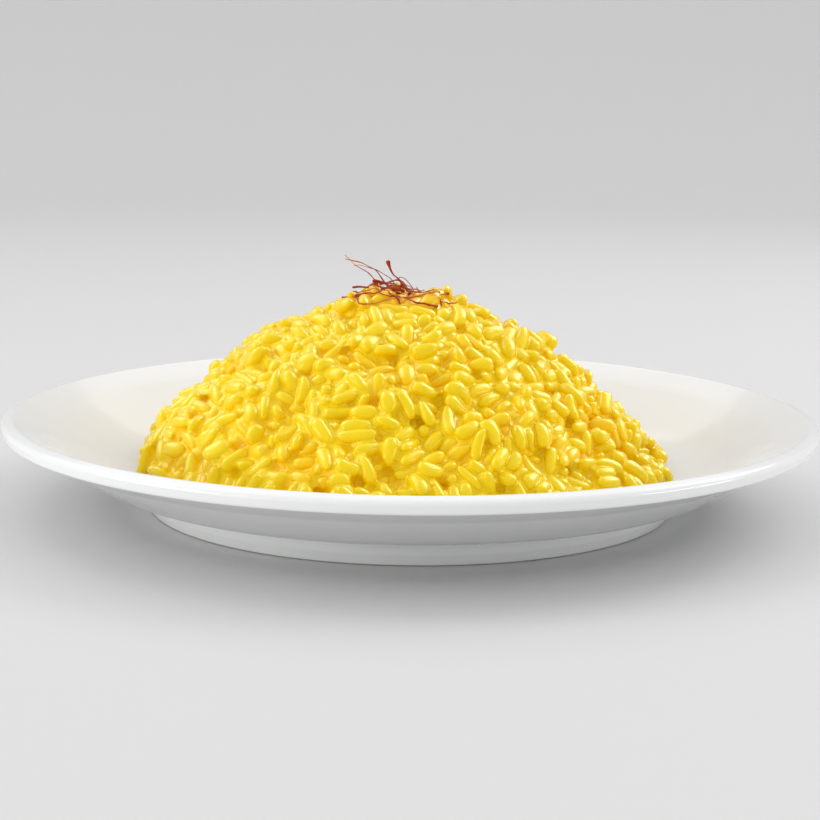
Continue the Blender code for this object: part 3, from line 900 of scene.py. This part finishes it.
# routes seen from the front: x, z of the plane y = 0, and depth y, or None where it lies on the rice
ROUTES = [
    # radius, flare, points
    (0.17, 0.20, [(-9.6, 63.8, -4), (-10.9, 66.2, -4), (-13.0, 68.5, -3.5), (-15.0, 69.7, -3), (-17.0, 70.9, -3), (-18.7, 72.6, -3.2), (-20.0, 73.74, -3.4)]),
    (0.30, 0.34, [(-4.5, 62.4, -2), (-6.0, 63.4, -2), (-8.0, 65.5, -2), (-9.3, 67.3, -1.5), (-10.8, 69.3, -1), (-12.9, 70.4, -1), (-15.0, 71.5, -1.5), (-17.5, 72.1, -2), (-19.9, 72.6, -2.5)]),
    (0.17, 0.18, [(-3.9, 62.7, 0), (-4.8, 64.5, 0), (-6.2, 66.7, 0), (-8.1, 68.0, -0.5), (-10.5, 69.4, -1), (-12.9, 70.1, -1.6), (-15.5, 70.8, -2.3), (-17.4, 70.6, -2.6)]),
    (0.34, 0.80, [(-7.4, 72.3, -5), (-7.0, 71.0, -5), (-6.4, 69.4, -4.8), (-5.6, 68.1, -4.5), (-4.4, 67.1, -4.2), (-3.6, 66.2, -4), (-2.5, 64.9, -3.8), (-1.0, 63.8, -3.4), (1.5, 62.9, -3)]),
    (0.16, 0.18, [(-2.6, 64.0, -1), (-3.6, 66.0, -1), (-3.9, 67.3, -1.4), (-2.5, 67.1, -1.8), (-1.3, 66.0, -2.2), (-0.1, 64.5, -2.5), (0.7, 62.9, -2.8)]),
    (0.26, 0.42, [(-17.8, 64.2, -2), (-15.5, 64.4, -2.3), (-13.1, 64.2, -2.6), (-11.0, 64.1, -3), (-8.4, 63.8, -3.2), (-5.4, 63.4, -3), (-2.7, 63.0, -3)]),
    (0.22, 0.30, [(-20.8, 61.2, 2), (-19.5, 61.3, 1), (-18.1, 61.7, 0), (-16.4, 62.4, None), (-14.6, 63.1, None), (-12.2, 63.5, None), (-9.6, 63.4, None)]),
    (0.27, 0.50, [(-16.8, 61.6, None), (-14.7, 62.3, None), (-12.5, 62.6, None), (-10.1, 62.2, None), (-7.8, 62.0, None), (-5.4, 61.3, None), (-3.6, 61.1, None), (-1.2, 61.2, None), (2.0, 61.8, None)]),
    (0.20, 0.26, [(-13.8, 62.8, None), (-15.2, 61.6, None), (-15.6, 60.2, None), (-15.1, 59.2, None), (-12.6, 59.3, None), (-10.3, 59.7, None), (-8.0, 60.4, None), (-5.7, 60.9, None), (-3.0, 60.8, None)]),
    (0.24, 0.30, [(-3.6, 59.2, None), (-4.0, 60.6, None), (-5.2, 61.7, None), (-7.4, 62.5, None), (-9.8, 63.2, None)]),
    (0.20, 0.24, [(13.2, 60.0, None), (11.5, 59.8, None), (10.0, 59.8, None), (8.5, 60.5, None), (7.3, 61.2, None), (6.4, 62.2, None), (4.4, 62.6, None)]),
    (0.22, 0.46, [(10.6, 62.8, -2), (9.6, 62.5, -2.2), (8.6, 62.4, None), (6.7, 62.6, None), (5.3, 62.8, None), (3.4, 62.3, None), (0.5, 61.7, None), (-2.1, 61.5, None)]),
    (0.26, 0.36, [(7.4, 59.0, None), (6.1, 59.0, None), (4.6, 59.3, None), (3.2, 59.7, None), (1.4, 59.8, None), (0.0, 60.4, None), (-1.6, 61.0, None), (-3.8, 61.6, None), (-6.5, 61.8, None)]),
    (0.16, 0.18, [(1.3, 64.6, 0), (1.6, 63.6, 0), (2.2, 62.6, 0), (3.4, 62.0, 0)]),
]


def saffron():
    rng = np.random.default_rng(23)
    parts = []
    for radius, flare, route in ROUTES:
        on = [p[2] is None for p in route]
        pts = [seen_from_front(x, z, y, radius + 0.12) for x, z, y in route]
        if any(on):                               # a stiff thread bridges the hollows towards the front
            ys = np.array([p.y for p in pts])
            for _ in range(12):
                ys[1:-1] = np.minimum(ys[1:-1], 0.5 * (ys[:-2] + ys[2:]))
            for _ in range(2):
                ys[1:-1] = 0.5 * ys[1:-1] + 0.25 * (ys[:-2] + ys[2:])
            pts = [seen_from_front(p[0], p[1], y) for p, y in zip(route, ys)]
        line, length = curve_through(pts, max(24, int(9 * len(route))))
        if any(on):
            line = out_of_rice(line, radius + 0.05)
        parts.append((line, radius, flare))
    # the rest of the tuft, fallen across each other
    made = 0
    while made < 15:
        x, y = rng.normal(-4.5, 4.0), rng.normal(-4.0, 3.4)
        head = rng.choice([0.0, math.pi]) + rng.normal(0, 0.55)
        length = rng.uniform(10.0, 18.0)
        turn, turn2 = rng.normal(0, 0.05), rng.normal(0, 0.012)
        steps = 36
        path = [(x, y)]
        step = length / steps
        for k in range(steps):
            head += (turn + turn2 * (k - steps / 2)) * step
            path.append((path[-1][0] + math.cos(head) * step, path[-1][1] + math.sin(head) * step))
        path = np.array(path) - (np.mean(path, axis=0) - [x, y])
        if path[:, 0].min() < -18.5 or path[:, 0].max() > 10 or path[:, 1].min() < -16 or path[:, 1].max() > 6.5:
            continue
        z = [drape_down(px, py) for px, py in path]
        if any(v is None for v in z):
            continue
        z = np.array(z)
        for _ in range(40):                       # a stiff thread bridges the hollows
            z[1:-1] = np.maximum(z[1:-1], 0.5 * (z[:-2] + z[2:]))
        for _ in range(6):
            z[1:-1] = 0.5 * z[1:-1] + 0.25 * (z[:-2] + z[2:])
        radius = rng.uniform(0.17, 0.30)
        lift = radius + 0.1 + 0.9 * rng.random() ** 2 * np.exp(-((path[:, 0] + 2.5) / 9) ** 2)
        line = np.column_stack([path, z + lift])
        if rng.random() < 0.3:                    # one end springs up a little
            line[:, 2] += rng.uniform(0.3, 1.1) * np.linspace(1, 0, len(line)) ** 2
        line = out_of_rice(line, radius, 3)
        parts.append((line, radius, rng.choice([radius * 1.15, rng.uniform(0.42, 0.72)], p=[0.45, 0.55])))
        made += 1
    vs, fs, al, ar, ti, uvs = [], [], [], [], [], []
    cells = math.ceil(math.sqrt(len(parts)))
    for i, (line, radius, flare) in enumerate(parts):
        v, f, a_, r_, t_, uv = tube(line, radius, flare, rng, rng.random())
        off = sum(len(q) for q in vs)
        vs.append(v); fs += [tuple(off + k for k in face) for face in f]
        al += a_; ar += r_; ti += t_
        uvs.append((uv * 0.92 + 0.04 + [i % cells, i // cells]) / cells)
    ob = mesh_object("saffron_threads", np.concatenate(vs), fs, [thread_material()])
    layer = ob.data.uv_layers.new(name="OFBake", do_init=False)
    layer.data.foreach_set("uv", np.concatenate(uvs).astype(np.float32).ravel())
    attribute(ob, "along", al); attribute(ob, "around", ar); attribute(ob, "tint", ti)
    return ob, np.concatenate([line for line, _r, _f in parts])


threads, thread_points = saffron()
stamp("threads: %d faces" % len(threads.data.polygons))


def stain(pts):
    """How strongly the saffron colours the rice at a point."""
    out = np.zeros(len(pts))
    near = np.nonzero((np.abs(pts[:, 0] + 2) < 24) & (np.abs(pts[:, 1] + 5) < 18) & (pts[:, 2] > 48))[0]
    for chunk in np.array_split(near, max(1, len(near) // 2000)):
        if not len(chunk):
            continue
        d = np.linalg.norm(pts[chunk][:, None] - thread_points[None], axis=-1)
        out[chunk] = np.clip(0.9 * np.exp(-(d.min(1) / 0.75) ** 2) + 0.018 * np.exp(-(d / 2.6) ** 2).sum(1), 0, 1)
    return out


for ob in grain_obs + [cream]:
    attribute(ob, "stain", stain(arrays(ob.data)[0] / MM))
stamp("stain")


# ------------------------------------------------------------------- plate
def plate_object():
    profile = rounded(INSIDE + OUTSIDE, math.radians(4))
    widest = max(p.x for p in profile)
    prof = np.array([(p.x * 120.0 / widest, p.y) for p in profile])
    seg = 256
    ang = np.arange(seg) * math.tau / seg
    rows = np.stack([prof[1:-1, 0][:, None] * np.cos(ang), prof[1:-1, 0][:, None] * np.sin(ang),
                     np.repeat(prof[1:-1, 1][:, None], seg, 1)], -1).reshape(-1, 3)
    vs = np.concatenate([[[0, 0, prof[0, 1]]], rows, [[0, 0, prof[-1, 1]]]])
    run = np.concatenate([[0], np.cumsum(np.linalg.norm(np.diff(prof, axis=0), axis=1))])
    run = 0.02 + 0.96 * run / run[-1]
    nr = len(prof) - 2
    faces, uv = [], []
    for j in range(seg):
        j2 = (j + 1) % seg
        u0, u1 = j / seg, (j + 1) / seg
        faces.append((0, 1 + j, 1 + j2))
        uv += [((u0 + u1) / 2, run[0]), (u0, run[1]), (u1, run[1])]
        for k in range(nr - 1):
            faces.append((1 + k * seg + j, 1 + (k + 1) * seg + j, 1 + (k + 1) * seg + j2, 1 + k * seg + j2))
            uv += [(u0, run[k + 1]), (u0, run[k + 2]), (u1, run[k + 2]), (u1, run[k + 1])]
        faces.append((1 + (nr - 1) * seg + j, len(vs) - 1, 1 + (nr - 1) * seg + j2))
        uv += [(u0, run[-2]), ((u0 + u1) / 2, run[-1]), (u1, run[-2])]
    ob = mesh_object("plate_glazed", vs, faces, [porcelain_material()])
    layer = ob.data.uv_layers.new(name="OFBake", do_init=False)
    layer.data.foreach_set("uv", np.array(uv, np.float32).ravel())
    return ob


plate = plate_object()
stamp("plate: %d faces" % len(plate.data.polygons))

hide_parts("plate"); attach(plate, "root")
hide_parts("risotto"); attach(cream, "root")
for ob in grain_obs:
    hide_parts("risotto"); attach(ob, "root")
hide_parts("saffron"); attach(threads, "root")


# ---------------------------------------------------- floor, light, camera
def dish():
    """A round studio floor whose far edge curves up into a low wall (mm)."""
    arc = np.linspace(0, math.pi / 2, 13)[1:]
    prof_r = [0.0, 300.0, 700.0, 1200.0] + [1200.0 + 600.0 * math.sin(t) for t in arc] + [1800.0]
    prof_z = [0.0] * 4 + [600.0 - 600.0 * math.cos(t) for t in arc] + [1000.0]
    seg = 96
    v = [(0.0, 0.0, 0.0)]
    for r, z in list(zip(prof_r, prof_z))[1:]:
        for j in range(seg):
            t = math.tau * j / seg
            v.append((r * math.cos(t), r * math.sin(t), z))
    f = []
    rows = len(prof_r) - 1
    for j in range(seg):
        j2 = (j + 1) % seg
        f.append((0, 1 + j, 1 + j2))
        for k in range(rows - 1):
            f.append((1 + k * seg + j, 1 + (k + 1) * seg + j, 1 + (k + 1) * seg + j2, 1 + k * seg + j2))
    return v, f


floor = mesh_object("floor", *dish())
fm, fnt, fb = node_material("floor")
fb.inputs["Base Color"].default_value = (0.74, 0.74, 0.74, 1)
fb.inputs["Roughness"].default_value = 0.6
floor.data.materials.append(fm)

world = bpy.data.worlds.new("studio")
bpy.context.scene.world = world
world.use_nodes = True
world.node_tree.nodes["Background"].inputs["Color"].default_value = (1, 1, 1, 1)
# brighter overhead and behind than in front
wt = world.node_tree
sky = wt.nodes.new("ShaderNodeTexCoord")
slope = wt.nodes.new("ShaderNodeVectorMath")
slope.operation = "DOT_PRODUCT"
slope.inputs[1].default_value = (0.0, 0.18, 0.16)
lift = wt.nodes.new("ShaderNodeMath")
lift.operation = "ADD"
lift.inputs[1].default_value = 0.845
wt.links.new(sky.outputs["Generated"], slope.inputs[0])
wt.links.new(slope.outputs["Value"], lift.inputs[0])
wt.links.new(lift.outputs[0], wt.nodes["Background"].inputs["Strength"])


def area(name, azimuth, elevation, far, size, power, color=(1, 1, 1)):
    """A soft box that looks at the dish from an azimuth (from +X) and an elevation."""
    a_, e_ = math.radians(azimuth), math.radians(elevation)
    aim = Vector((0, 0, 0.03))
    loc = aim + Vector((math.cos(a_) * math.cos(e_), math.sin(a_) * math.cos(e_), math.sin(e_))) * far
    data = bpy.data.lights.new(name, "AREA")
    data.shape = "RECTANGLE"
    data.size, data.size_y = size
    data.energy = power
    data.color = color
    ob = bpy.data.objects.new(name, data)
    bpy.context.scene.collection.objects.link(ob)
    ob.location = loc
    ob.rotation_euler = (aim - loc).to_track_quat("-Z", "Y").to_euler()
    return ob


area("key", 28, 42, 1.1, (0.60, 0.50), 1.9)
area("top", 160, 60, 1.1, (0.42, 0.32), 0.6)
area("left", 198, 20, 1.1, (0.60, 0.50), 1.0)
# low panels that light the dish alone and leave the floor even
dish_only = bpy.data.collections.new("dish_only")
for ob in grain_obs + [cream, threads, plate]:
    dish_only.objects.link(ob)
for name, az, el, size, power in (("low_left", 204, 6, (0.6, 0.14), 2.9), ("low_right", 345, 6, (0.6, 0.14), 1.9)):
    area(name, az, el, 1.1, size, power).light_linking.receiver_collection = dish_only
plate_only = bpy.data.collections.new("plate_only")
plate_only.objects.link(plate)
for name, az, power in (("under_left", 222, 0.7), ("under_right", 322, 0.3)):
    area(name, az, 2, 1.1, (0.5, 0.10), power).light_linking.receiver_collection = plate_only
# panels that only put a sheen on the wet rice
wet = bpy.data.collections.new("wet_rice")
for ob in grain_obs + [cream]:
    wet.objects.link(ob)
for name, az, el, size, power in (("sheen_right", 30, 44, (0.95, 0.85), 12.0), ("sheen_left", 163, 42, (0.9, 0.7), 7.5),
                                ("glint", 28, 42, (0.26, 0.24), 2.5)):
    panel = area(name, az, el, 1.1, size, power)
    panel.visible_diffuse = False
    panel.light_linking.receiver_collection = wet

cam_data = bpy.data.cameras.new("camera")
cam = bpy.data.objects.new("camera", cam_data)
bpy.context.scene.collection.objects.link(cam)
bpy.context.scene.camera = cam
cam_data.sensor_width = 36.0
cam_data.lens = 1868.0 * 36.0 / 820.0
pitch, roll, dist = math.radians(10.46), math.radians(0.71), 0.560
back = Vector((0, -math.cos(pitch), math.sin(pitch)))
cam.location = Vector((0, 0, 0.025)) + back * dist
right = Vector((1, 0, 0))
up = back.cross(right)
# the image is turned clockwise by roll
rot = Matrix((right, up, back)).transposed()
cam.rotation_euler = (rot @ Matrix.Rotation(roll, 3, "Z")).to_euler()
cam_data.shift_x = -(410.7 - 410.0) / 820.0
cam_data.shift_y = (418.3 - 410.0) / 820.0
cam_data.clip_start, cam_data.clip_end = 0.01, 20.0
cam_data.dof.use_dof = False

scene = bpy.context.scene
scene.view_settings.view_transform = "Standard"
scene.view_settings.look = "None"

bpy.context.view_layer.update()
stamp("done")
